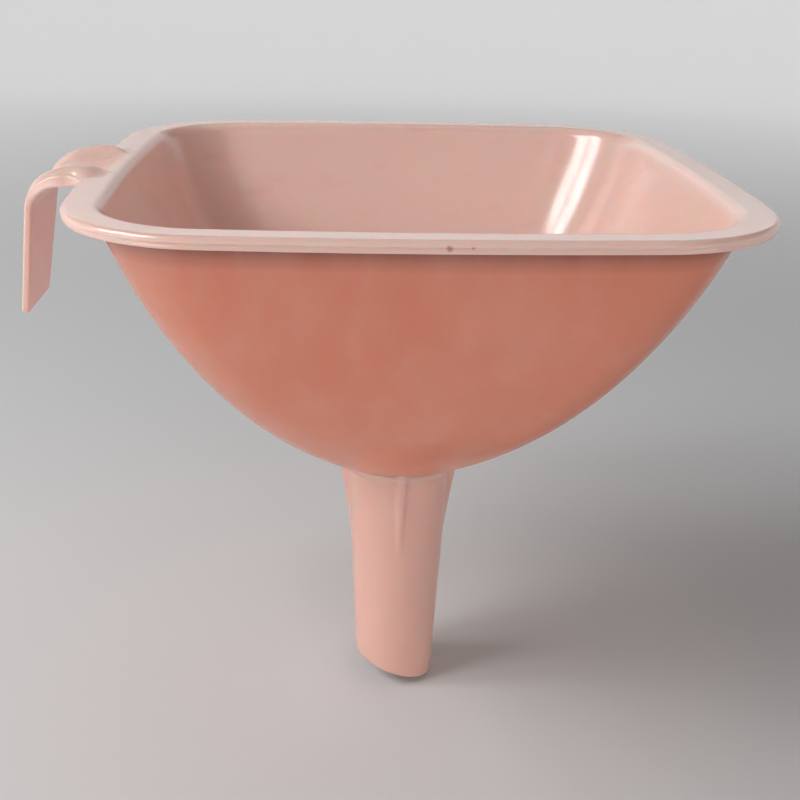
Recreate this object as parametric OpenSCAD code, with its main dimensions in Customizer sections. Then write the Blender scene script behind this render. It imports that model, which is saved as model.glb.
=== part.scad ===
// Square funnel with a tapered spout and a hook handle, one moulding split along its feature lines.
// Origin: on the funnel's axis, at the shoulder where the bowl meets the spout. +Z is up.
// The hook handle is on the -X side.

/* [Rim] */
// Width of the rim across its flat sides
rim_w = 152; // [146:1:158]
// Radius of the rim's corners, in plan
rim_corner_r = 32; // [28:1:36]
// How far the middle of each rim side bows outwards
side_bow = 1.2; // [0.6:0.1:1.8]
// Thickness of the flat flange
flange_t = 1.9; // [1.6:0.1:2.2]
// Height of the rim from its flat top to the edge of the turned-down lip
rim_h = 2.7; // [2.4:0.1:3.2]
// Thickness of the turned-down lip
lip_t = 2.2; // [1.8:0.1:2.6]

/* [Bowl] */
// Height from the shoulder to the flat top of the rim
bowl_h = 77.9; // [74:0.1:82]
// Outer width of the bowl just below the flange
bowl_top_w = 138.5; // [137:0.5:139.5]
// Outer radius of the bowl at the shoulder
bowl_bottom_r = 14; // [13.6:0.1:14.6]
// Wall thickness of the bowl
bowl_wall = 1.8; // [1.5:0.1:2.1]
// Slope of the bowl's wall at the top, in degrees from level
top_slope = 72; // [70:1:74]
// Slope of the bowl's wall at the shoulder, in degrees from level
bottom_slope = 32.7; // [30:0.1:36]
// How far the top slope carries down the wall
top_pull = 36.7; // [32:0.1:40]
// How far the bottom slope carries up the wall
bottom_pull = 24.8; // [20:0.1:28]
// Corner radius of the bowl as a share of its half width, at the top
corner_share = 0.34; // [0.3:0.01:0.38]
// How late the square bowl turns round on its way down
rounding_power = 5.3; // [4:0.1:6]

/* [Spout] */
// Outer radius of the spout at the shoulder
spout_top_r = 13.6; // [13.4:0.1:14]
// Outer radius of the spout at its tip
spout_tip_r = 10.8; // [10.3:0.05:11]
// Length of the spout along its axis, from the shoulder to the slanted cut
spout_len = 62.3; // [58:0.1:66]
// Slant of the cut at the tip, in degrees
tip_slant = 19; // [14:0.1:22]
// Wall thickness of the spout
spout_wall = 1.6; // [1.4:0.1:1.9]

/* [Vent ribs] */
// Thickness of each rib
rib_t = 1.8; // [1.5:0.1:2.2]
// Distance from the shoulder down to the foot of each rib
rib_len = 24; // [20:1:28]
// How far each rib stands out from the spout just below the shoulder
rib_reach = 2.2; // [1.6:0.1:2.8]

/* [Handle] */
// Thickness of the handle's strap
strap_t = 1.8; // [1.6:0.1:2.2]
// Half width of the strap where it leaves the rim
strap_root_hw = 17; // [16:0.5:18]
// Half width of the strap at its free end
strap_end_hw = 11.3; // [10:0.1:12.5]
// Depth of the strap's top face below the rim's top, at the root
strap_drop = 1.2; // [0.8:0.1:1.4]
// Inner radius of the strap's bend
bend_r = 7.2; // [6:0.1:8]
// Distance from the funnel's axis to the middle of the bend
bend_x = 81.5; // [80.5:0.1:83]
// Lean of the hanging part away from the bowl, in degrees
lean = 8; // [4:0.5:10]
// Depth of the free end below the rim's top
hang = 34.7; // [30:0.1:38]
// Width of each raised edge
edge_w = 3; // [2.5:0.1:3.5]
// Height of the raised edges above the rim's top
edge_up = 1.8; // [1:0.1:2.2]
// How far the crest of the raised edges lies towards the rim from the middle of the bend
crest_shift = 2.5; // [1:0.1:3.5]

/* [Hidden] */
$fn = 96;
SIDE_POINTS = 8;
CORNER_POINTS = 16;
BOWL_LEVELS = 20;
BOW_AT_BOWL_TOP = 1.5;
CLEAR = 0.01;
rim_half = rim_w / 2;
mouth_half = bowl_top_w / 2 - bowl_wall * sin(top_slope);
bowl_top_z = bowl_h - flange_t;
bore_top_r = spout_top_r - spout_wall;
spout_end_z = -spout_len - spout_tip_r * tan(tip_slant) - 2;
taper = (spout_top_r - spout_tip_r) / spout_len;
bend_z = bowl_h - strap_drop - strap_t - bend_r;
end_z = bowl_h - hang;

// Points of a square of half width a with corners of radius r and sides that bow by b, drawn as eight arcs.
function rounded_square(a, r, b) =
    let (
        c = a - b - r,
        side_r = (c * c + b * b) / (2 * b),
        side_x = a - side_r,
        reach = side_r - r,
        corner = (side_x + sqrt(2 * reach * reach - side_x * side_x)) / 2,
        half_turn = atan2(corner, corner - side_x)
    )
    [
        for (quarter = [0:3], i = [0:SIDE_POINTS + CORNER_POINTS - 1])
            let (
                on_side = i < SIDE_POINTS,
                t = on_side
                    ? half_turn * (2 * i / SIDE_POINTS - 1)
                    : half_turn + (90 - 2 * half_turn) * (i - SIDE_POINTS) / CORNER_POINTS,
                x = on_side ? side_x + side_r * cos(t) : corner + r * cos(t),
                y = on_side ? side_r * sin(t) : corner + r * sin(t)
            )
            turned([x, y], 90 * quarter)
    ];

function turned(p, angle) =
    [p.x * cos(angle) - p.y * sin(angle), p.x * sin(angle) + p.y * cos(angle)];

// Point and slope direction of a cubic curve through four control points, at t from 0 to 1.
function curve_point(p, t) =
    pow(1 - t, 3) * p[0] + 3 * pow(1 - t, 2) * t * p[1] + 3 * (1 - t) * t * t * p[2] + pow(t, 3) * p[3];
function curve_direction(p, t) =
    let (d = pow(1 - t, 2) * (p[1] - p[0]) + 2 * (1 - t) * t * (p[2] - p[1]) + t * t * (p[3] - p[2]))
    d / norm(d);

// The bowl's outer profile, as half width and height, from under the flange down to the shoulder.
bowl_curve = [
    [bowl_top_w / 2, bowl_top_z],
    [bowl_top_w / 2, bowl_top_z] - top_pull * [cos(top_slope), sin(top_slope)],
    [bowl_bottom_r, 0] + bottom_pull * [cos(bottom_slope), sin(bottom_slope)],
    [bowl_bottom_r, 0]
];

// One level of the bowl: a ring of points that turns from a rounded square into a circle as t goes to 1.
function bowl_ring(half, z, t) =
    let (
        square = rounded_square(1, corner_share, BOW_AT_BOWL_TOP / rim_half),
        round_share = pow(t, rounding_power)
    )
    [for (p = square) let (q = half * (p * (1 - round_share) + p / norm(p) * round_share)) [q.x, q.y, z]];

function bowl_outside(t) =
    let (p = curve_point(bowl_curve, t))
    bowl_ring(p[0], p[1], t);

function bowl_inside(t) =
    let (
        d = curve_direction(bowl_curve, t),
        p = curve_point(bowl_curve, t) + bowl_wall * [d[1], -d[0]]
    )
    bowl_ring(p[0], min(p[1], bowl_top_z), t);

module bowl() {
    steps = [for (i = [0:BOWL_LEVELS]) i / BOWL_LEVELS];
    rings = concat(
        [for (t = steps) bowl_outside(t)],
        [bowl_ring(bore_top_r, 0, 1)],
        [for (i = [BOWL_LEVELS:-1:0]) bowl_inside(steps[i])]
    );
    count = len(rings[0]);
    color([0.80, 0.52, 0.43])
        polyhedron(
            points = [for (ring = rings) each ring],
            faces = [
                for (level = [0:len(rings) - 1], i = [0:count - 1])
                    let (
                        next_level = (level + 1) % len(rings),
                        j = (i + 1) % count
                    )
                    each [
                        [level * count + i, level * count + j, next_level * count + j],
                        [level * count + i, next_level * count + j, next_level * count + i]
                    ]
            ],
            convexity = 8
        );
}

module rim_outline(inset = 0) {
    polygon(rounded_square(rim_half - inset, rim_corner_r - inset, side_bow));
}

module mouth_outline() {
    polygon([for (p = bowl_ring(mouth_half, 0, 0)) [p.x, p.y]]);
}

module rim_flange() {
    color([0.86, 0.70, 0.64])
        translate([0, 0, bowl_h - flange_t])
            linear_extrude(flange_t)
                difference() {
                    rim_outline();
                    mouth_outline();
                }
}

module rim_lip() {
    color([0.78, 0.56, 0.48])
        translate([0, 0, bowl_h - rim_h])
            linear_extrude(rim_h - flange_t)
                difference() {
                    rim_outline(0.3);
                    rim_outline(0.3 + lip_t);
                }
}

// Side view of the strap: level out of the rim, round the bend, then down to the free end.
module strap_side() {
    outer_r = bend_r + strap_t;
    reach = bend_x - rim_half + side_bow;
    hang_run = bend_z - end_z + outer_r;
    difference() {
        translate([-bend_x, bend_z])
            difference() {
                union() {
                    circle(outer_r);
                    square([reach, outer_r]);
                    rotate(-lean)
                        translate([-outer_r, -hang_run])
                            square([outer_r, hang_run]);
                }
                circle(bend_r);
                translate([0, -outer_r])
                    square([2 * outer_r, outer_r + bend_r]);
                rotate(-lean)
                    translate([-bend_r, -2 * hang_run])
                        square([4 * outer_r, 2 * hang_run]);
            }
        translate([-2 * rim_half, end_z - rim_half])
            square([2 * rim_half, rim_half]);
    }
}

// End view of the whole strap, square to X: its edges taper from the root to the free end.
module strap_front() {
    strap_top_z = bowl_h + edge_up + 1;
    polygon([
        [-strap_root_hw, strap_top_z],
        [strap_root_hw, strap_top_z],
        [strap_root_hw, bowl_h],
        [strap_end_hw, end_z],
        [-strap_end_hw, end_z],
        [-strap_root_hw, bowl_h]
    ]);
}

// End view of the raised edge on the +Y side: the outermost edge_w of the level part and the bend.
module edge_front() {
    strap_top_z = bowl_h + edge_up + 1;
    polygon([
        [strap_root_hw - edge_w, strap_top_z],
        [strap_root_hw, strap_top_z],
        [strap_root_hw, bowl_h],
        [strap_end_hw, end_z],
        [strap_end_hw - edge_w, end_z],
        [strap_root_hw - edge_w, bowl_h]
    ]);
}

// Turns a side view drawn in X and Z into a solid that reaches half_y to each side.
module across(half_y) {
    translate([0, half_y, 0])
        rotate([90, 0, 0])
            linear_extrude(2 * half_y)
                children();
}

// Turns an end view drawn in Y and Z into a solid that runs along -X past the handle.
module along() {
    translate([-2 * rim_half, 0, 0])
        rotate([90, 0, 90])
            linear_extrude(2 * rim_half)
                children();
}

module rim_block() {
    translate([0, 0, bowl_h - rim_h - 1])
        linear_extrude(rim_h + edge_up + 3)
            rim_outline();
}

module handle_strap() {
    color([0.76, 0.50, 0.48])
        difference() {
            intersection() {
                across(strap_root_hw + 1)
                    strap_side();
                along()
                    strap_front();
            }
            rim_block();
        }
}

// Side view of a raised edge: level out of the rim, then a crescent that runs out into the strap past the bend.
module edge_side() {
    strap_r = bend_r + strap_t;
    low = strap_r * [-cos(lean), sin(lean)];
    crest = [crest_shift, strap_r + strap_drop + edge_up];
    rise = crest - low;
    crest_r = (rise * rise) / (2 * rise.y);
    reach = bend_x - rim_half + side_bow;
    far = 2 * crest_r;
    translate([-bend_x, bend_z])
        difference() {
            union() {
                intersection() {
                    translate(crest - [0, crest_r])
                        circle(crest_r);
                    polygon([[0, 0], [crest.x, 0], [crest.x, far], [-far, far], [-far, far * tan(lean)]]);
                }
                translate([crest.x, strap_r])
                    square([reach - crest.x, strap_drop + edge_up]);
            }
            circle(strap_r);
            square([reach, strap_r]);
        }
}

module handle_edge(side) {
    color([0.80, 0.55, 0.50])
        difference() {
            intersection() {
                across(strap_root_hw + 1)
                    edge_side();
                along()
                    mirror([side < 0 ? 1 : 0, 0])
                        edge_front();
            }
            rim_block();
        }
}

module handle_front_lip() {
    handle_edge(-1);
}

module handle_back_lip() {
    handle_edge(1);
}

// The spout's outer cone from the shoulder down past the slanted cut.
module spout_cone(top_r, z_low) {
    translate([0, 0, z_low])
        cylinder(h = -z_low, r1 = top_r + taper * z_low, r2 = top_r);
}

module spout() {
    bore_over = 1;
    color([0.85, 0.66, 0.60])
        difference() {
            spout_cone(spout_top_r, spout_end_z);
            translate([0, 0, spout_end_z - bore_over])
                cylinder(
                    h = bore_over * 2 - spout_end_z,
                    r1 = bore_top_r + taper * (spout_end_z - bore_over),
                    r2 = bore_top_r + taper * bore_over
                );
            translate([0, 0, -spout_len])
                rotate([0, tip_slant, 0])
                    translate([-50, -50, -50])
                        cube([100, 100, 50]);
        }
}

// One vent rib: a thin fin in the corner below the bowl, running out into the spout at its foot.
module vent_rib(angle) {
    top_out = spout_top_r + rib_reach;
    top_z = (top_out - bowl_bottom_r) * tan(bottom_slope) - 0.1;
    color([0.83, 0.62, 0.56])
        rotate(angle)
            difference() {
                translate([0, rib_t / 2, 0])
                    rotate([90, 0, 0])
                        linear_extrude(rib_t)
                            polygon([
                                [spout_top_r - 3, -CLEAR],
                                [bowl_bottom_r, -CLEAR],
                                [top_out, top_z],
                                [top_out, -1.5],
                                [spout_top_r - taper * rib_len + 0.15, -rib_len],
                                [spout_top_r - 3, -rib_len]
                            ]);
                spout_cone(spout_top_r, spout_end_z);
            }
}

module vent_rib_front() {
    vent_rib(-90);
}

module vent_rib_right() {
    vent_rib(0);
}

module vent_rib_back() {
    vent_rib(90);
}

module vent_rib_left() {
    vent_rib(180);
}

bowl();
rim_flange();
rim_lip();
handle_strap();
handle_front_lip();
handle_back_lip();
spout();
vent_rib_front();
vent_rib_right();
vent_rib_back();
vent_rib_left();
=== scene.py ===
# %% [markdown]
# # A square kitchen funnel with a hook handle
# The real funnel is one glossy moulding in pale pink plastic: a square bowl with a flat rim, a tapered spout
# with four thin vent ribs, and a strap handle that hooks over a rail. Nothing on it moves.
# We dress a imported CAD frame. Everything is in metres, +Z is up, and the origin lies on the funnel's axis at
# the shoulder where bowl and spout meet. The handle is on the -X side.

# %% Load the frame
import math

import bmesh
import bpy
import numpy as np
from mathutils import Matrix, Vector


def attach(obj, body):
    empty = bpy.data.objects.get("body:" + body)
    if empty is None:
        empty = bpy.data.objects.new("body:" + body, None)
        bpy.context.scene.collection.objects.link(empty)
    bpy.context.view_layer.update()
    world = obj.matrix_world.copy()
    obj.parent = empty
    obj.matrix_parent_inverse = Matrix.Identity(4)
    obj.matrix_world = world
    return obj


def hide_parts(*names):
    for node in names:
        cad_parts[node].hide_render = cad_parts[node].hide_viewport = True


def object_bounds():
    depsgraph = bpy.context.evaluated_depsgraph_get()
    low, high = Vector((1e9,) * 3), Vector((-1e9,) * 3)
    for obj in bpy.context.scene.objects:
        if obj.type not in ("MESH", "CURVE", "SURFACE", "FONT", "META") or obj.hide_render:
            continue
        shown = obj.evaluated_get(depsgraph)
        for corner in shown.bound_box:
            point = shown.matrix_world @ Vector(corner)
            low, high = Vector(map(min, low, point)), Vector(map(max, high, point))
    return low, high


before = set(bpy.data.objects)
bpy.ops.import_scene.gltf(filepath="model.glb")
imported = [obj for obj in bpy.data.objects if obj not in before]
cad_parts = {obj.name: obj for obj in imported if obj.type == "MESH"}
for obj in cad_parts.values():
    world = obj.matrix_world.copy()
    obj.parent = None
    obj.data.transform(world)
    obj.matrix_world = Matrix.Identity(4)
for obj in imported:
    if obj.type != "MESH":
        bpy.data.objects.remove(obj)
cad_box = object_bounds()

MM = 0.001
print("nodes:", sorted(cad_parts))
print("CAD box in mm:", [[round(v / MM, 1) for v in corner] for corner in cad_box])

# %% [markdown]
# ## Two helpers
# Most of the funnel is a skin stretched over rings: each ring is a closed row of points, and a quad joins each
# pair of neighbours on two rings. Such a loft could be drawn by hand with subdivision surfaces, but the rings
# follow rules, so it is simpler and truer to compute them and to join them in code.
# Positions are worked out in millimetres, because plastic parts are drawn that way, and scaled once here.


# %% Loft and mesh helpers
def loft(rings, closed_section=True, cap=False):
    """Points and faces of a skin over rings, an array (rings, points, 3). Each ring is closed on itself."""
    rows, count = rings.shape[:2]
    faces = []
    for row in range(rows if closed_section else rows - 1):
        below, above = row * count, (row + 1) % rows * count
        for i in range(count):
            j = (i + 1) % count
            faces.append((below + i, below + j, above + j, above + i))
    if cap:
        faces.append(tuple(range(count))[::-1])
        faces.append(tuple(range((rows - 1) * count, rows * count)))
    return rings.reshape(-1, 3), faces


def piece_from(name, points_mm, faces, sharp_deg=40, marks=None):
    """A smooth-shaded object whose faces all look outwards. Marks are named numbers, one for each point."""
    mesh = bpy.data.meshes.new(name)
    mesh.from_pydata((np.asarray(points_mm) * MM).tolist(), [], faces)
    for label, values in (marks or {}).items():
        mesh.attributes.new(label, "FLOAT", "POINT").data.foreach_set("value", values.astype(np.float32))
    tidy_shell(mesh, sharp_deg)
    piece = bpy.data.objects.new(name, mesh)
    bpy.context.collection.objects.link(piece)
    return piece


def tidy_shell(mesh, sharp_deg=40):
    """Merges doubled points, turns the faces outwards and marks only real corners as sharp."""
    shell = bmesh.new()
    shell.from_mesh(mesh)
    bmesh.ops.remove_doubles(shell, verts=shell.verts, dist=1e-7)
    bmesh.ops.delete(shell, geom=[v for v in shell.verts if not v.link_faces], context="VERTS")
    bmesh.ops.recalc_face_normals(shell, faces=shell.faces)
    if shell.calc_volume(signed=True) < 0:
        bmesh.ops.reverse_faces(shell, faces=shell.faces)
    for face in shell.faces:
        face.smooth = True
    for edge in shell.edges:
        edge.smooth = edge.calc_face_angle(0) < math.radians(sharp_deg)
    open_edges = sum(not edge.is_manifold for edge in shell.edges)
    print(mesh.name, "- faces:", len(shell.faces), "open edges:", open_edges)
    shell.to_mesh(mesh)
    shell.free()


def smooth_step(x, low, high):
    t = np.clip((np.asarray(x, float) - low) / (high - low), 0, 1)
    return t * t * (3 - 2 * t)


def curve_through(p, t):
    """A cubic curve through four control points, at t from 0 to 1."""
    p = np.asarray(p, float)
    t = np.asarray(t, float)[..., None]
    return (1 - t) ** 3 * p[0] + 3 * (1 - t) ** 2 * t * p[1] + 3 * (1 - t) * t * t * p[2] + t**3 * p[3]


# %% [markdown]
# ## The outline seen from above
# The rim and the bowl are squares with generous corners, and their sides bow out a little, because a flat
# moulded wall would look sunken. Each quarter is a long shallow arc and a corner arc that meet without a kink.
# A ring of the same points in the same order can then turn smoothly from the square mouth to the round throat.
# The handle's side gets more points in its middle, where the strap's raised edges need them.

# %% Sizes, in millimetres
RIM_HALF, RIM_CORNER, SIDE_BOW = 76.0, 32.0, 1.2
RIM_TOP, FLANGE_UNDER, LIP_EDGE, PARTING_Z = 77.9, 76.0, 75.2, 76.58
BOWL_TOP_HALF, BOWL_FOOT, WALL = 69.25, 14.0, 1.8
TOP_SLOPE, FOOT_SLOPE = math.radians(72), math.radians(32.7)
TOP_PULL, FOOT_PULL = 36.7, 24.8
CORNER_SHARE, ROUNDING = 0.34, 5.3
SPOUT_TOP, SPOUT_TIP, SPOUT_LENGTH, SPOUT_WALL = 13.6, 10.8, 62.3, 1.6
TIP_SLANT = math.radians(19)

# %% The outline
plain_side = np.linspace(-1, 1, 52, endpoint=False)
EDGE_STEPS, ROOT_STEPS = 15, 80
handle_side = np.concatenate([
    np.linspace(-1, -0.5, EDGE_STEPS, endpoint=False),
    np.linspace(-0.5, 0.5, ROOT_STEPS, endpoint=False),
    np.linspace(0.5, 1, EDGE_STEPS, endpoint=False),
])
corner_steps = np.linspace(0, 1, 36, endpoint=False)


def rounded_square(half, corner_r, bow):
    """Four quarters, the one on the handle's side third, each a side arc and then a corner arc."""
    c = half - bow - corner_r
    side_r = (c * c + bow * bow) / (2 * bow)
    side_x = half - side_r
    reach = side_r - corner_r
    corner = (side_x + math.sqrt(2 * reach * reach - side_x * side_x)) / 2
    half_turn = math.atan2(corner, corner - side_x)
    turn = half_turn + (math.pi / 2 - 2 * half_turn) * corner_steps
    quarters = []
    for quarter in range(4):
        side = half_turn * (handle_side if quarter == 2 else plain_side)
        x = np.concatenate([side_x + side_r * np.cos(side), corner + corner_r * np.cos(turn)])
        y = np.concatenate([side_r * np.sin(side), corner + corner_r * np.sin(turn)])
        quarters.append(np.stack([(x, y), (-y, x), (-x, -y), (y, -x)][quarter], axis=1))
    return np.concatenate(quarters)


def at_height(outline, z):
    return np.column_stack([outline, np.broadcast_to(z, len(outline))])


def rim_ring(inset, z):
    return at_height(rounded_square(RIM_HALF - inset, RIM_CORNER - inset, SIDE_BOW), z)


UNIT_SQUARE = rounded_square(1, CORNER_SHARE, 1.5 / RIM_HALF)
UNIT_CIRCLE = UNIT_SQUARE / np.linalg.norm(UNIT_SQUARE, axis=1, keepdims=True)
root_first = 2 * (len(plain_side) + len(corner_steps)) + EDGE_STEPS + 2
root_last = root_first + ROOT_STEPS - 4
print("points round a ring:", len(UNIT_SQUARE), "of them at the handle's root:", root_last - root_first + 1)

# %% [markdown]
# ## The bowl with its rim
# On the real funnel the bowl's wall rolls over into a flat rim with a turned-down lip, all one skin about
# 1.8 mm thick. Separate plates would show seams in the gloss, and light that wanders inside the plastic would
# stop at each hidden face and leave a dark line. So one closed loft runs up the inside, over the soft mouth,
# across the flat, round the shoulder and the lip, and down the outside again.

# %% Bowl profile
bowl_top, bowl_foot = np.array([BOWL_TOP_HALF, FLANGE_UNDER]), np.array([BOWL_FOOT, 0.0])
BOWL_CURVE = np.array([
    bowl_top,
    bowl_top - TOP_PULL * np.array([math.cos(TOP_SLOPE), math.sin(TOP_SLOPE)]),
    bowl_foot + FOOT_PULL * np.array([math.cos(FOOT_SLOPE), math.sin(FOOT_SLOPE)]),
    bowl_foot,
])


def bowl_ring(half, z, t):
    turn = t**ROUNDING
    return at_height(half * (UNIT_SQUARE * (1 - turn) + UNIT_CIRCLE * turn), z)


def wall_point(t, depth=0.0):
    """Half width and height of the bowl's wall at t from top to foot, depth mm in from its outer face."""
    step = 1e-4
    heading = curve_through(BOWL_CURVE, t + step) - curve_through(BOWL_CURVE, t - step)
    heading /= np.linalg.norm(heading)
    return curve_through(BOWL_CURVE, t) + depth * np.array([heading[1], -heading[0]])


# %% Rings up the inside and over the mouth
MOUTH_ROLL = np.array([[6.2, 77.9], [7.6, 77.9], [8.46, 76.7], [8.86, 75.35]])
INSIDE_START, OUTSIDE_START = 0.012, 0.022

rings = []
for t in np.linspace(1, INSIDE_START, 42):
    rings.append(bowl_ring(*wall_point(t, WALL), t))
for t in np.linspace(1, 0, 9)[1:]:
    inset, z = curve_through(MOUTH_ROLL, t)
    share = smooth_step(1 - t, 0, 1)
    rings.append((1 - share) * bowl_ring(RIM_HALF - inset, z, 0) + share * rim_ring(inset, z))
for inset in (5.6, 5.0, 4.4, 3.8, 3.2, 2.6, 2.1):
    rings.append(rim_ring(inset, RIM_TOP))

# %% Rings round the shoulder, the parting line and the lip
SHOULDER_R = 1.15
root_top = len(rings)
rings.append(rim_ring(1.6, RIM_TOP))
for turn in np.radians([90, 72, 54, 36, 18, 0]):
    rings.append(rim_ring(SHOULDER_R * (1 - math.cos(turn)), RIM_TOP - SHOULDER_R * (1 - math.sin(turn))))
for inset, z in ((0.0, 76.64), (0.08, 76.58), (0.28, 76.52), (0.22, 76.42), (0.2, 76.0), (0.24, 75.6), (0.4, 75.32)):
    rings.append(rim_ring(inset, z))
root_under = len(rings)
rings.append(rim_ring(0.75, LIP_EDGE))
for inset, z in ((1.6, 75.2), (2.2, 75.22), (2.45, 75.4), (2.52, 75.75), (2.75, 76.0), (3.6, 76.0), (4.6, 76.0)):
    rings.append(rim_ring(inset, z))
fillet_end = wall_point(OUTSIDE_START)
fillet = [[5.0, FLANGE_UNDER], [6.2, FLANGE_UNDER], [6.85, 75.2], [RIM_HALF - fillet_end[0], fillet_end[1]]]
for t in np.linspace(0, 1, 6)[:-1]:
    inset, z = curve_through(fillet, t)
    share = smooth_step(t, 0, 1)
    rings.append((1 - share) * rim_ring(inset, z) + share * bowl_ring(RIM_HALF - inset, z, 0))

# %% Rings down the outside and round the foot
for t in np.linspace(OUTSIDE_START, 1, 44):
    rings.append(bowl_ring(*wall_point(t), t))
for radius, z in ((13.2, -0.25), (12.4, -0.5), (11.97, -0.5), (11.97, -0.1), (12.1, 0.45), (12.5, 1.05)):
    rings.append(bowl_ring(radius, z, 1))
rings = np.array(rings)
print("rings in the bowl's section:", len(rings))

# %% [markdown]
# ## The hook handle
# The handle is a strap with a soft raised edge on each side, like a shallow gutter. It leaves the rim level,
# turns over a small bend and hangs down, leaning a little away from the bowl and getting narrower. A bevelled
# curve can't change its section on the way, so stations along a path each carry a section of their own. The
# real handle and rim are one skin, so the first station is the edge of a gap left in the rim's own loft.

# %% Path of the strap's top face
BEND_X, BEND_Z, BEND_R, STRAP_T = -81.5, 67.7, 7.2, 1.8
STRAP_TOP, LEAN, STRAP_END = 76.7, math.radians(8), 43.7
strap_r = BEND_R + STRAP_T
path = [(x, STRAP_TOP) for x in np.linspace(-76.35, BEND_X, 12)]
headings = [0.0] * len(path)
for turn in np.linspace(0, math.pi / 2 - LEAN, 40)[1:]:
    path.append((BEND_X - strap_r * math.sin(turn), BEND_Z + strap_r * math.cos(turn)))
    headings.append(turn)
last = np.array(path[-1])
run = (last[1] - STRAP_END) / math.cos(LEAN)
for step in np.linspace(0, 1, 24)[1:]:
    path.append(tuple(last + step * run * np.array([-math.sin(LEAN), -math.cos(LEAN)])))
    headings.append(math.pi / 2 - LEAN)
path, headings = np.array(path), np.array(headings)
travel = np.concatenate([[0], np.cumsum(np.hypot(*np.diff(path, axis=0).T))])
bend_start, bend_end = travel[11], travel[50]
print("strap length in mm:", round(travel[-1], 1), "bend from", round(bend_start, 1), "to", round(bend_end, 1))


# %% How the section changes along the strap
def along(knots, values):
    """Values at distances along the strap, eased so that no kink shows."""
    raw = np.interp(travel, knots, values)
    for _ in range(6):
        raw[1:-1] = (raw[:-2] + 2 * raw[1:-1] + raw[2:]) / 4
    return raw


bend_length = bend_end - bend_start
halves = along([0, bend_start, bend_end, travel[-1]], [16.9, 16.7, 14.7, 11.4])
root_distance = np.clip(path[:, 0] + 80, 0, 3.65)
halves += 4 - np.sqrt(16 - root_distance**2)
crest_heights = along(
    [0, 2.6, bend_start, bend_start + 0.25 * bend_length, bend_start + 0.55 * bend_length, bend_end - 1],
    [3.05, 3.0, 2.3, 1.55, 1.0, 0])
side_heights = along([0, 2.6, bend_start, bend_start + 0.25 * bend_length, bend_end], [0.1, 0.55, 0.55, 0.15, 0])
CREST_Y, INNER_SLOPE = 13.6, 2.7


def gutter(y, half, crest, side_up):
    """Height above the web at a distance y from the middle: web, steep inner slope, crest, gentle outer slope."""
    y = np.abs(y)
    crest_y = min(CREST_Y, half - 3.2)
    outer = np.clip((y - crest_y) / (half - crest_y), 0, 1)
    outer_height = side_up + (crest - side_up) * (1 - outer**1.7)
    inner_height = crest * smooth_step(y, crest_y - INNER_SLOPE, crest_y)
    return np.where(y > crest_y, outer_height, inner_height)


# %% The root: a dip and two ridges that run out on the rim's flat
def rim_relief(x, y):
    """Change of the rim's height where the handle grows out of it."""
    dip = (RIM_TOP - STRAP_TOP) * smooth_step(-x, 70.2, 75.2)
    crest = 1.85 * smooth_step(-x, 68.6, 74.9)
    y = np.abs(y)
    inner = -dip + (crest + dip) * smooth_step(y, CREST_Y - INNER_SLOPE, CREST_Y)
    outer = crest * (1 - np.clip((y - CREST_Y) / 7.2, 0, 1) ** 1.5) ** 1.5
    return np.where(y > CREST_Y, outer, inner)


relief = rim_relief(rings[..., 0], rings[..., 1])
flat = np.zeros(len(rings), bool)
flat[42:root_top + 1] = True
near_handle = (rings[..., 0] < -69) & (np.abs(rings[..., 1]) < 21) & flat[:, None]
rings[..., 2] += np.where(near_handle, relief, 0)

# %% Stations of the strap
root_row = rings[root_top, root_first:root_last + 1]
shares = root_row[:, 1] / root_row[0, 1]
side_count = root_under - root_top - 1
CORNER_SOFT = 0.5


def strap_side(half, top, under):
    """Points (across, up) down one side, with softened corners, for the -Y side."""
    quarter = np.radians([20, 45, 70, 90])
    upper = [(half - CORNER_SOFT * (1 - math.sin(a)), top - CORNER_SOFT * (1 - math.cos(a))) for a in quarter]
    lower = [(half - CORNER_SOFT * (1 - math.sin(a)), under + CORNER_SOFT * (1 - math.cos(a))) for a in quarter[::-1]]
    middle = side_count - 8
    levels = np.linspace(top - CORNER_SOFT, under + CORNER_SOFT, middle + 2)[1:-1]
    return np.array(upper + [(half, z) for z in levels] + lower) * (-1, 1)


stations = []
for point, turn, half, crest, side_up in zip(path, headings, halves, crest_heights, side_heights):
    across = shares * (half - CORNER_SOFT)
    top = np.column_stack([across, gutter(across, half, crest, side_up)])
    thin = 0.8 * smooth_step(point[0], -81, -76.4)
    under = np.column_stack([across, -STRAP_T + thin * (across / half) ** 2])
    right = strap_side(half, top[-1, 1], under[-1, 1])
    section = np.concatenate([top, right, under[::-1], right[::-1] * (-1, 1)])
    out_x, out_z = -math.sin(turn), math.cos(turn)
    stations.append(np.column_stack([
        point[0] + section[:, 1] * out_x, section[:, 0], point[1] + section[:, 1] * out_z]))

# %% Soften the free end
end = stations[-1]
middle = end.mean(axis=0)
outwards = np.array([-math.cos(LEAN), 0, math.sin(LEAN)])
downwards = np.array([-math.sin(LEAN), 0, -math.cos(LEAN)])
thick, wide = (end - middle) @ outwards, end[:, 1] - middle[1]
for turn in np.radians([25, 50, 75, 88]):
    pull = 0.55 * (1 - math.cos(turn))
    row = end - np.outer(np.sign(thick) * np.minimum(pull, np.abs(thick)), outwards)
    row[:, 1] -= np.sign(wide) * np.minimum(pull, np.abs(wide))
    stations.append(row + downwards * 0.5 * math.sin(turn))
stations = np.array(stations)
print("stations:", len(stations), "points in each:", stations.shape[1])

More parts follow.
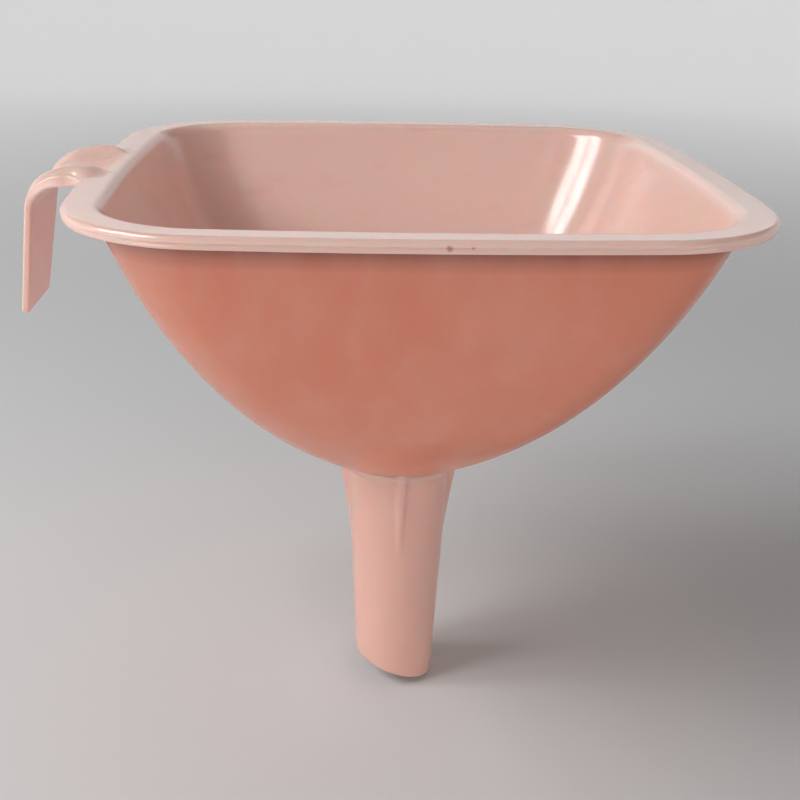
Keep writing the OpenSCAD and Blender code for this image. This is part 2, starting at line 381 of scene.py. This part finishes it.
# %% Join the strap to the gap in the rim
points, faces = loft(rings)
ring_size = rings.shape[1]
gap = {row * ring_size + i for row in range(root_top, root_under) for i in range(root_first, root_last)}
faces = [face for face in faces if face[0] not in gap]
columns = range(root_first, root_last + 1)
rows_between = range(root_top + 1, root_under)
first_loop = [root_top * ring_size + i for i in columns]
first_loop += [row * ring_size + root_last for row in rows_between]
first_loop += [root_under * ring_size + i for i in reversed(columns)]
first_loop += [row * ring_size + root_first for row in reversed(rows_between)]
strap_points = stations.reshape(-1, 3)
loop_size = stations.shape[1]
loops = [first_loop] + [list(range(len(points) + k * loop_size, len(points) + (k + 1) * loop_size))
                        for k in range(len(stations))]
for one, other in zip(loops, loops[1:]):
    for i in range(loop_size):
        j = (i + 1) % loop_size
        faces.append((one[i], one[j], other[j], other[i]))
faces.append(tuple(loops[-1]))
all_points = np.concatenate([points, strap_points])

# %% Mark the rim's edge, the outer face for its painted shade and the corner under the rim for a painted shadow
worn_edge = np.zeros(len(all_points))
worn_edge[(root_top + 1) * ring_size:(root_under + 1) * ring_size] = 1.0
outer_face = np.zeros(len(all_points))
outer_face[(root_under + 6) * ring_size:len(points)] = 1.0
# This mask carries the painted shadow under the rim, fading out over 7 mm down the outer face.
painted_shadow_under_rim = np.zeros(len(all_points))
below = FLANGE_UNDER - all_points[:len(points), 2]
painted_shadow_under_rim[:len(points)] = outer_face[:len(points)] * smooth_step(-below, -7.0, -0.8)
marks = {"worn_edge": worn_edge, "outer_face": outer_face, "painted_shadow_under_rim": painted_shadow_under_rim}
funnel = piece_from("bowl_rim_and_handle", all_points, faces, 50, marks)

# %% [markdown]
# ## A Geometry Nodes helper
# The spout follows a rule and the ribs repeat, so both are made with Geometry Nodes. A tree is a small program
# with named inputs, and someone can retune it later without touching a point. The helper adds nodes and wires
# them. Afterwards the result is baked into a plain mesh, so the piece can be exported and its finish won't slide.


# %% Node tree helpers
def new_tree(name, inputs):
    tree = bpy.data.node_groups.new(name, "GeometryNodeTree")
    tree.interface.new_socket("Geometry", in_out="INPUT", socket_type="NodeSocketGeometry")
    for label, kind, value in inputs:
        socket = tree.interface.new_socket(label, in_out="INPUT", socket_type=kind)
        if value is not None:
            socket.default_value = value
    tree.interface.new_socket("Geometry", in_out="OUTPUT", socket_type="NodeSocketGeometry")
    return tree


def add(tree, kind, links=(), **settings):
    """Adds a node, sets its properties, and fills its inputs from values or other nodes' outputs."""
    node = tree.nodes.new(kind)
    for key, value in settings.items():
        setattr(node, key, value)
    for key, source in dict(links).items():
        if isinstance(source, bpy.types.NodeSocket):
            tree.links.new(source, node.inputs[key])
        else:
            node.inputs[key].default_value = source
    return node


def maths(tree, operation, a, b=0.0, c=0.0):
    links = {0: a, 1: b} if operation != "MULTIPLY_ADD" else {0: a, 1: b, 2: c}
    return add(tree, "ShaderNodeMath", links, operation=operation).outputs[0]


def bake(name, seed_mesh, tree, values):
    """Runs the tree on a seed mesh and returns a plain object with the result."""
    holder = bpy.data.objects.new(name + "_tree", seed_mesh)
    bpy.context.collection.objects.link(holder)
    modifier = holder.modifiers.new("shape", "NODES")
    modifier.node_group = tree
    for item in tree.interface.items_tree:
        if item.item_type == "SOCKET" and item.in_out == "INPUT" and item.name in values:
            modifier[item.identifier] = values[item.name]
    bpy.context.view_layer.update()
    graph = bpy.context.evaluated_depsgraph_get()
    mesh = bpy.data.meshes.new_from_object(holder.evaluated_get(graph), depsgraph=graph)
    holder.modifiers.remove(modifier)
    bpy.data.objects.remove(holder)
    mesh.name = name
    piece = bpy.data.objects.new(name, mesh)
    bpy.context.collection.objects.link(piece)
    return piece


# %% [markdown]
# ## The finish: glossy pale pink plastic
# These colours stand in for that warmth as painted shade, and the dark red under the rim is a painted shadow.
# Thin plastic lets some light in, which softens its edges and shading. Flat paint can't do that, and subsurface
# scattering can. Its length is short here, 1.4 mm, so the wall doesn't pass enough light to warm the shaded faces.
# Instead the bowl's outer face, the corner under the rim and the spout each have a base colour.
# The gloss is broken by the mould's faint orange peel and hair scratches. All patterns read Object coordinates,
# in metres.

# %% Colours and marks of the finish
PINK = (0.92, 0.65, 0.57)
# The bowl's outer face gets a deeper pink, painted shade that stands in for warm light through the wall.
OUTER_FACE_PAINTED_SHADE = (0.8, 0.27, 0.155)
# A near-black red under the rim is a painted shadow beneath the lip.
UNDER_RIM_PAINTED_SHADOW = (0.22, 0.025, 0.01)
# The spout's deeper pink is painted shade too, standing in for warm light through its wall.
SPOUT_PAINTED_SHADE_PINK = (0.92, 0.56, 0.47)
FUNNEL_GLOSS, SPOUT_GLOSS = 0.18, 0.22
SCATTER_LENGTH = 0.0014
# Each nick is its place along X in millimetres and its relative size.
NICKS = [(-52, 0.9), (-41, 0.8), (3, 1.0), (7.5, 0.8), (31, 0.6)]
print("nicks on the near lip:", len(NICKS))


# %% Noise, easing and mixing
def noise(tree, place, scale, detail=2.0, stretch=None, turn=(0, 0, 0)):
    """Noise on Object coordinates, drawn out along an axis where stretch is given."""
    if stretch:
        place = add(tree, "ShaderNodeMapping", {"Vector": place, "Rotation": turn, "Scale": stretch}).outputs[0]
    return add(tree, "ShaderNodeTexNoise", {"Vector": place, "Scale": scale, "Detail": detail}).outputs["Fac"]


def ease(tree, value, low, high, start=0.0, end=1.0):
    links = {0: value, 1: low, 2: high, 3: start, 4: end}
    return add(tree, "ShaderNodeMapRange", links, interpolation_type="SMOOTHSTEP").outputs[0]


def mark(tree, name):
    return add(tree, "ShaderNodeAttribute", attribute_name=name).outputs["Fac"]


def tint(tree, amount, colour, other):
    """Mixes a colour towards another, by an amount from 0 to 1."""
    mix = add(tree, "ShaderNodeMix", {0: amount}, data_type="RGBA")
    if isinstance(colour, bpy.types.NodeSocket):
        tree.links.new(colour, mix.inputs[6])
    else:
        mix.inputs[6].default_value = (*colour, 1)
    mix.inputs[7].default_value = (*other, 1)
    return mix.outputs[2]


def shade(base, *factors):
    return tuple(min(0.97, c * f) for c, f in zip(base, factors))


# %% Body colour: painted shade on the outer face, a painted shadow under the rim, clouds, flow streaks and smudges
def body_colour(tree, place, cloud, base, outside, streaks):
    colour = base
    if outside:
        # Painted shade: the outer face turns a deeper pink than the rest of the plastic.
        colour = tint(tree, mark(tree, "outer_face"), base, outside)
        # Painted shadow: a dark red band just under the rim's flange.
        colour = tint(tree, maths(tree, "MULTIPLY", mark(tree, "painted_shadow_under_rim"), 0.95), colour, UNDER_RIM_PAINTED_SHADOW)
    colour = tint(tree, ease(tree, cloud, 0.2, 0.8, 0.0, 0.05), colour, shade(base, 1.0, 1.25, 1.3))
    flow = ease(tree, noise(tree, place, 90.0, 4.0, (1.0, 1.0, 0.14)), 0.35, 0.75)
    colour = tint(tree, maths(tree, "MULTIPLY", flow, streaks), colour, shade(base, 1.0, 1.12, 1.15))
    smudge = ease(tree, noise(tree, place, 55.0, 4.0, (1.0, 1.0, 2.4), (0, 0.1, 0)), 0.56, 0.76)
    return tint(tree, maths(tree, "MULTIPLY", smudge, 0.12), colour, shade(outside or base, 0.93, 0.84, 0.81))


# %% Dark specks
def specked(tree, place, colour, base, specks):
    grit = add(tree, "ShaderNodeTexVoronoi", {"Vector": place, "Scale": 210.0, "Randomness": 1.0})
    pick = add(tree, "ShaderNodeSeparateColor", {0: grit.outputs["Color"]})
    rare = maths(tree, "GREATER_THAN", pick.outputs[0], 1 - 0.007 * specks)
    dot = maths(tree, "MULTIPLY", rare, maths(tree, "LESS_THAN", grit.outputs["Distance"], 0.06))
    return tint(tree, maths(tree, "MULTIPLY", dot, 0.5), colour, shade(base, 0.5, 0.35, 0.3))


# %% Wear along the rim's parting line
def worn_rim(tree, place, colour, base):
    """A thin ragged pale line where the mould's halves met, with a few darker nicks on the near side."""
    ragged = maths(tree, "MULTIPLY_ADD", noise(tree, place, 520.0, 4.0), 0.7 * MM, -0.35 * MM)
    up = maths(tree, "ADD", add(tree, "ShaderNodeSeparateXYZ", {0: place}).outputs[2], ragged)
    line = maths(tree, "ABSOLUTE", maths(tree, "SUBTRACT", up, PARTING_Z * MM))
    thin = maths(tree, "MULTIPLY", mark(tree, "worn_edge"), ease(tree, line, 0.05 * MM, 0.22 * MM, 1.0, 0.0))
    broken = ease(tree, noise(tree, place, 130.0, 3.0), 0.44, 0.62)
    pale = maths(tree, "MULTIPLY", thin, maths(tree, "MULTIPLY", broken, 0.55))
    colour = tint(tree, pale, colour, shade(base, 1.03, 1.35, 1.4))
    for x, size in NICKS:
        spot = (x * MM, -(RIM_HALF - SIDE_BOW * (x / RIM_HALF) ** 2) * MM, (PARTING_Z - 0.15) * MM)
        away = add(tree, "ShaderNodeVectorMath", {0: place, 1: spot}, operation="DISTANCE").outputs["Value"]
        away = maths(tree, "ADD", away, maths(tree, "MULTIPLY", ragged, 1.6))
        near = ease(tree, away, 0.25 * size * MM, 0.75 * size * MM, 1.0, 0.0)
        colour = tint(tree, maths(tree, "MULTIPLY", near, 0.8), colour, shade(base, 0.6, 0.42, 0.36))
    return colour


# %% The whole plastic
def plastic(name, base, gloss, outside=None, streaks=0.0, wear=False, specks=1.0):
    material = bpy.data.materials.new(name)
    material.use_nodes = True
    tree = material.node_tree
    tree.nodes.clear()
    place = add(tree, "ShaderNodeTexCoord").outputs["Object"]
    cloud = noise(tree, place, 20.0)
    colour = body_colour(tree, place, cloud, base, outside, streaks)
    colour = specked(tree, place, colour, base, specks)
    hair = ease(tree, noise(tree, place, 900.0, 2.0, (1.0, 0.1, 1.0), (0.4, 0.3, 0.9)), 0.6, 0.78)
    scuff = maths(tree, "MULTIPLY", hair, ease(tree, noise(tree, place, 38.0), 0.55, 0.75))
    colour = tint(tree, maths(tree, "MULTIPLY", scuff, 0.1), colour, shade(base, 1.0, 1.2, 1.25))
    if wear:
        colour = worn_rim(tree, place, colour, base)

    dull = maths(tree, "MULTIPLY_ADD", scuff, 0.02, ease(tree, cloud, 0.2, 0.8, gloss - 0.015, gloss + 0.02))
    sway_and_peel = maths(tree, "MULTIPLY_ADD", noise(tree, place, 60.0), 6.0, noise(tree, place, 640.0))
    height = maths(tree, "MULTIPLY_ADD", scuff, -0.4, sway_and_peel)
    bump = add(tree, "ShaderNodeBump", {"Strength": 0.08, "Distance": 0.0002, "Height": height}).outputs[0]
    shader = add(tree, "ShaderNodeBsdfPrincipled", {"Base Color": colour, "Roughness": dull, "Normal": bump})
    shader.inputs["IOR"].default_value = 1.49
    shader.inputs["Specular IOR Level"].default_value = 1.0
    shader.inputs["Subsurface Weight"].default_value = 1.0
    shader.inputs["Subsurface Radius"].default_value = (1.0, 0.3, 0.16)
    shader.inputs["Subsurface Scale"].default_value = SCATTER_LENGTH
    add(tree, "ShaderNodeOutputMaterial", {"Surface": shader.outputs[0]})
    print(name, "- nodes:", len(tree.nodes))
    return material


# The funnel's plastic carries the painted shade of the outer face and the painted shadow under the rim.
funnel_plastic = plastic("pink_plastic_funnel", PINK, FUNNEL_GLOSS, OUTER_FACE_PAINTED_SHADE, streaks=0.1, wear=True)
# The spout's copy of the plastic takes the deeper pink of painted shade.
spout_plastic = plastic("pink_plastic_spout", SPOUT_PAINTED_SHADE_PINK, SPOUT_GLOSS, specks=0.6)

# %% [markdown]
# ## The spout and its vent ribs
# The spout is a plain tapered tube with a slanted tip, and four thin fins stand on it just under the bowl.
# They keep the funnel off a bottle's neck, so air can get out. A lathe makes the tube: a profile is turned
# round the axis. The fins repeat and are one skin with the tube, so the same tree raises them: it measures
# how far each point lies from the nearest fin's line and pushes the close ones outwards.

# %% Spout profile
taper = (SPOUT_TOP - SPOUT_TIP) / SPOUT_LENGTH


def outer_radius(z):
    return SPOUT_TOP + taper * z


collar = [(16.6, 1.6), (15.7, 0.9), (15.15, 0.15), (14.85, -0.5), (14.6, -0.95), (14.1, -1.3), (13.7, -1.7)]
profile = collar + [(13.5, -2.3)]
profile += [(outer_radius(z), z) for z in np.linspace(-3.2, -SPOUT_LENGTH + 0.6, 56)]
tip_out, tip_in = outer_radius(-SPOUT_LENGTH), outer_radius(-SPOUT_LENGTH) - SPOUT_WALL
for turn in np.radians([15, 40, 65, 90]):
    profile.append((tip_out - 0.4 * (1 - math.cos(turn)), -SPOUT_LENGTH + 0.4 - 0.4 * math.sin(turn)))
outer_rows = len(profile)
profile.append((tip_in + 0.35, -SPOUT_LENGTH))
for turn in np.radians([60, 20]):
    profile.append((tip_in + 0.35 * (1 - math.sin(turn)), -SPOUT_LENGTH + 0.35 - 0.35 * math.cos(turn)))
profile += [(outer_radius(z) - SPOUT_WALL, z) for z in np.linspace(-SPOUT_LENGTH + 1.2, 0.2, 24)]
profile += [(12.6, 0.35), (14.2, 0.8), (15.6, 1.4)]
profile = np.array(profile)
seed = bpy.data.meshes.new("spout_profile")
seed.from_pydata([(r * MM, 0, z * MM) for r, z in profile], [(i, i + 1) for i in range(len(profile) - 1)], [])
print("profile points:", len(profile), "of them outside:", outer_rows)

# %% Spout tree: inputs and the turned profile
lathe = new_tree("spout_lathe_with_ribs", [
    ("Rows", "NodeSocketInt", len(profile)),
    ("Outer Rows", "NodeSocketInt", outer_rows),
    ("Points Round", "NodeSocketInt", 288),
    ("Slant", "NodeSocketFloat", TIP_SLANT),
    ("Slant Starts", "NodeSocketFloat", -20 * MM),
    ("Slant Ends", "NodeSocketFloat", -61 * MM),
    ("Rib Count", "NodeSocketInt", 4),
    ("Rib Reach", "NodeSocketFloat", 2.2 * MM),
    ("Rib Foot", "NodeSocketFloat", -24 * MM),
    ("Rib Half Width", "NodeSocketFloat", 2.4 * MM),
    ("Plastic", "NodeSocketMaterial", None),
])
given = lathe.nodes.new("NodeGroupInput").outputs
columns = maths(lathe, "ADD", given["Points Round"], 1.0)
grid = add(lathe, "GeometryNodeMeshGrid", {"Vertices X": given["Rows"], "Vertices Y": columns})
index = add(lathe, "GeometryNodeInputIndex").outputs[0]
row = maths(lathe, "FLOOR", maths(lathe, "DIVIDE", maths(lathe, "ADD", index, 0.5), columns))
column = maths(lathe, "MODULO", index, columns)
angle = maths(lathe, "MULTIPLY", maths(lathe, "DIVIDE", column, given["Points Round"]), 2 * math.pi)
read = add(lathe, "GeometryNodeSampleIndex", {"Geometry": given["Geometry"], "Index": row}, data_type="FLOAT_VECTOR")
lathe.links.new(add(lathe, "GeometryNodeInputPosition").outputs[0], read.inputs["Value"])
spun = add(lathe, "ShaderNodeVectorRotate", {"Vector": read.outputs[0], "Angle": angle}, rotation_type="Z_AXIS")
parts = add(lathe, "ShaderNodeSeparateXYZ", {0: spun.outputs[0]})

# %% Spout tree: slide the lower rows along the slant
share = add(lathe, "ShaderNodeMapRange", {
    0: parts.outputs[2], 1: given["Slant Starts"], 2: given["Slant Ends"], 3: 0.0, 4: 1.0})
drop = maths(lathe, "MULTIPLY", maths(lathe, "TANGENT", given["Slant"]), parts.outputs[0])
slide = maths(lathe, "MULTIPLY", maths(lathe, "MULTIPLY", drop, share.outputs[0]), -1.0)

# %% Spout tree: raise the ribs
sector = maths(lathe, "DIVIDE", 2 * math.pi, given["Rib Count"])
half_sector = maths(lathe, "DIVIDE", sector, 2.0)
to_line = maths(lathe, "ABSOLUTE", maths(lathe, "SUBTRACT", maths(
    lathe, "MODULO", maths(lathe, "ADD", angle, half_sector), sector), half_sector))
level = add(lathe, "ShaderNodeSeparateXYZ", {0: read.outputs[0]})
off_line = maths(lathe, "MULTIPLY", to_line, level.outputs[0])
height = add(lathe, "ShaderNodeMapRange", {0: level.outputs[2], 1: given["Rib Foot"], 2: -0.5 * MM, 3: 0.0, 4: 1.0})
width = maths(lathe, "MULTIPLY", given["Rib Half Width"], maths(
    lathe, "MULTIPLY_ADD", height.outputs[0], 0.5, 0.5))
bell = add(lathe, "ShaderNodeMapRange", {
    0: off_line, 1: maths(lathe, "MULTIPLY", width, 0.18), 2: width, 3: 1.0, 4: 0.0}, interpolation_type="SMOOTHSTEP")
rib = maths(lathe, "MULTIPLY", maths(lathe, "POWER", height.outputs[0], 1.35), maths(
    lathe, "POWER", bell.outputs[0], 1.5))
outside = maths(lathe, "LESS_THAN", row, maths(lathe, "SUBTRACT", given["Outer Rows"], 0.5))
push = maths(lathe, "MULTIPLY", maths(lathe, "MULTIPLY", rib, outside), given["Rib Reach"])
sideways = add(lathe, "ShaderNodeCombineXYZ", {0: push})
outwards_turned = add(lathe, "ShaderNodeVectorRotate", {"Vector": sideways.outputs[0], "Angle": angle},
                      rotation_type="Z_AXIS")
into_bowl = add(lathe, "ShaderNodeMapRange", {0: level.outputs[2], 1: -2.4 * MM, 2: 0.6 * MM, 3: 0.0, 4: 0.85},
                interpolation_type="SMOOTHSTEP")
lift = maths(lathe, "MULTIPLY", push, into_bowl.outputs[0])
slide_vector = add(lathe, "ShaderNodeCombineXYZ", {2: maths(lathe, "ADD", slide, lift)})
total = add(lathe, "ShaderNodeVectorMath", {0: slide_vector.outputs[0], 1: outwards_turned.outputs[0]},
            operation="ADD")
moved = add(lathe, "GeometryNodeSetPosition", {
    "Geometry": grid.outputs[0], "Position": spun.outputs[0], "Offset": total.outputs[0]})
welded = add(lathe, "GeometryNodeMergeByDistance", {"Geometry": moved.outputs[0], "Distance": 1e-6})
real = add(lathe, "GeometryNodeRealizeInstances", {"Geometry": welded.outputs[0]})
dressed = add(lathe, "GeometryNodeSetMaterial", {"Geometry": real.outputs[0], "Material": given["Plastic"]})
lathe.links.new(dressed.outputs[0], lathe.nodes.new("NodeGroupOutput").inputs[0])

# %% Bake the spout and close its hidden top
spout = bake("spout_with_vent_ribs", seed, lathe, {"Plastic": spout_plastic})
closing = bmesh.new()
closing.from_mesh(spout.data)
bmesh.ops.remove_doubles(closing, verts=closing.verts, dist=1e-7)
open_rims = [edge for edge in closing.edges if edge.is_boundary]
if open_rims:
    bmesh.ops.bridge_loops(closing, edges=open_rims)
closing.to_mesh(spout.data)
closing.free()
tidy_shell(spout.data, 45)
funnel.data.materials.append(funnel_plastic)

# %% Tie the pieces to the frame
stands_for = {
    funnel: ("bowl", "rim_flange", "rim_lip", "handle_strap", "handle_front_lip", "handle_back_lip"),
    spout: ("spout", "vent_rib_front", "vent_rib_right", "vent_rib_back", "vent_rib_left"),
}
for piece, nodes in stands_for.items():
    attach(piece, "root")
    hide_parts(*nodes)
    print(piece.name, "stands for", nodes)

# %% [markdown]
# ## Floor, light and camera
# The floor is plain and pale, and curves up into a wall on every side, so no edge shows behind the funnel. Its
# paint gives off a little light, more of it further out, so that the wall isn't dark from any side.
# The light is a studio's. A paned softbox on the left is the key, and it draws the window shape in the gloss of the
# inner wall. Softboxes overhead and behind light the bowl and the rim, one high in front lights the far inner wall,
# and two small low ones lift the spout, which the bowl shades.

# %% Shape of the floor and wall
lowest = cad_box[0][2]
SWEEP_STARTS, SWEEP_R, WALL_TOP = 1.3, 0.6, 0.75
AROUND, UPWARDS = 96, 17
sweep = [(0.02, lowest), (0.5, lowest), (0.9, lowest)]
sweep += [(SWEEP_STARTS + SWEEP_R * math.sin(a), lowest + SWEEP_R * (1 - math.cos(a)))
          for a in np.linspace(0, math.pi / 2, UPWARDS).tolist()]
sweep.append((SWEEP_STARTS + SWEEP_R, WALL_TOP))
around = np.linspace(0, 2 * math.pi, AROUND, endpoint=False)
dish = np.array([np.column_stack([r * np.cos(around), r * np.sin(around), np.full(AROUND, z)]) for r, z in sweep])
corners, dish_faces = loft(dish, closed_section=False)
mesh = bpy.data.meshes.new("floor_and_wall")
mesh.from_pydata(corners.tolist(), [], [face[::-1] for face in dish_faces] + [tuple(range(AROUND))])
mesh.shade_smooth()
print("floor and wall faces:", len(mesh.polygons))

# %% Paint of the floor and wall
STAGE_ALBEDO, WALL_GLOW = 0.78, 0.42
GLOW_STARTS, GLOW_FULL = 0.3, 1.5
paint = bpy.data.materials.new("pale_stage")
paint.use_nodes = True
surface = paint.node_tree.nodes["Principled BSDF"]
surface.inputs["Base Color"].default_value = (STAGE_ALBEDO, STAGE_ALBEDO, STAGE_ALBEDO, 1)
surface.inputs["Roughness"].default_value = 0.9
surface.inputs["Specular IOR Level"].default_value = 0.1
surface.inputs["Emission Color"].default_value = (1, 1, 1, 1)
place = add(paint.node_tree, "ShaderNodeTexCoord").outputs["Object"]
away = add(paint.node_tree, "ShaderNodeVectorMath", {0: place}, operation="LENGTH").outputs["Value"]
glow = ease(paint.node_tree, away, GLOW_STARTS, GLOW_FULL, 0.0, WALL_GLOW)
paint.node_tree.links.new(glow, surface.inputs["Emission Strength"])
mesh.materials.append(paint)
floor = bpy.data.objects.new("floor_and_wall", mesh)
bpy.context.collection.objects.link(floor)
print("paint reflects", STAGE_ALBEDO, "and glows up to", WALL_GLOW)

# %% Surround
SURROUND = 0.02
world = bpy.data.worlds.new("pale_surround")
world.use_nodes = True
world.node_tree.nodes["Background"].inputs["Color"].default_value = (1.0, 1.0, 1.0, 1)
world.node_tree.nodes["Background"].inputs["Strength"].default_value = SURROUND
bpy.context.scene.world = world
bpy.context.scene.view_settings.view_transform = "Standard"
print("surround strength:", SURROUND)


# %% Softboxes
def softbox(name, place, target, size, watts, shift=(0, 0)):
    """An area light that faces a target, slid across and up in its own plane."""
    data = bpy.data.lights.new(name, "AREA")
    data.shape, (data.size, data.size_y), data.energy = "RECTANGLE", size, watts
    lamp = bpy.data.objects.new(name, data)
    facing = (Vector(target) - Vector(place)).to_track_quat("-Z", "Y")
    lamp.rotation_euler = facing.to_euler()
    lamp.location = Vector(place) + facing @ Vector((*shift, 0))
    bpy.context.collection.objects.link(lamp)


PANE_GAP = 0.14
for across in (-PANE_GAP, PANE_GAP):
    for up in (-PANE_GAP, 0, PANE_GAP):
        softbox("window_pane", (-0.63, -0.167, 0.606), (0, 0, 0.03), (0.23, 0.11), 0.8, (across, up))
softbox("overhead", (0.1, 0.2, 1.0), (0, 0, 0.03), (0.9, 0.7), 0.92)
softbox("rear", (0, 0.88, 0.48), (0, 0, 0.06), (1.2, 0.35), 0.7)
softbox("front_high", (0.1, -0.9, 0.8), (0, 0, 0.06), (0.9, 0.4), 0.8)
softbox("low_right", (0.32, -0.3, -0.03), (0, 0, -0.035), (0.14, 0.1), 0.08)
softbox("low_left", (-0.24, -0.26, -0.04), (0, 0, -0.04), (0.14, 0.1), 0.12)
print("softboxes:", len(bpy.data.lights))

# %% Camera
lens = bpy.data.cameras.new("camera")
lens.lens, lens.sensor_width = 52.37, 36
lens.shift_x, lens.shift_y = 0.0448, 0.0086
lens.clip_start = 0.01
camera = bpy.data.objects.new("camera", lens)
camera.location = (-0.01928, -0.28534, 0.12924)
tilt, turn_left, roll = math.pi / 2 - 0.3824, -0.0338, 0.0186
camera.rotation_euler = (
    Matrix.Rotation(turn_left, 3, "Z") @ Matrix.Rotation(tilt, 3, "X") @ Matrix.Rotation(roll, 3, "Z")
).to_euler()
bpy.context.collection.objects.link(camera)
bpy.context.scene.camera = camera
print("camera to origin in mm:", round(camera.location.length / MM, 1))
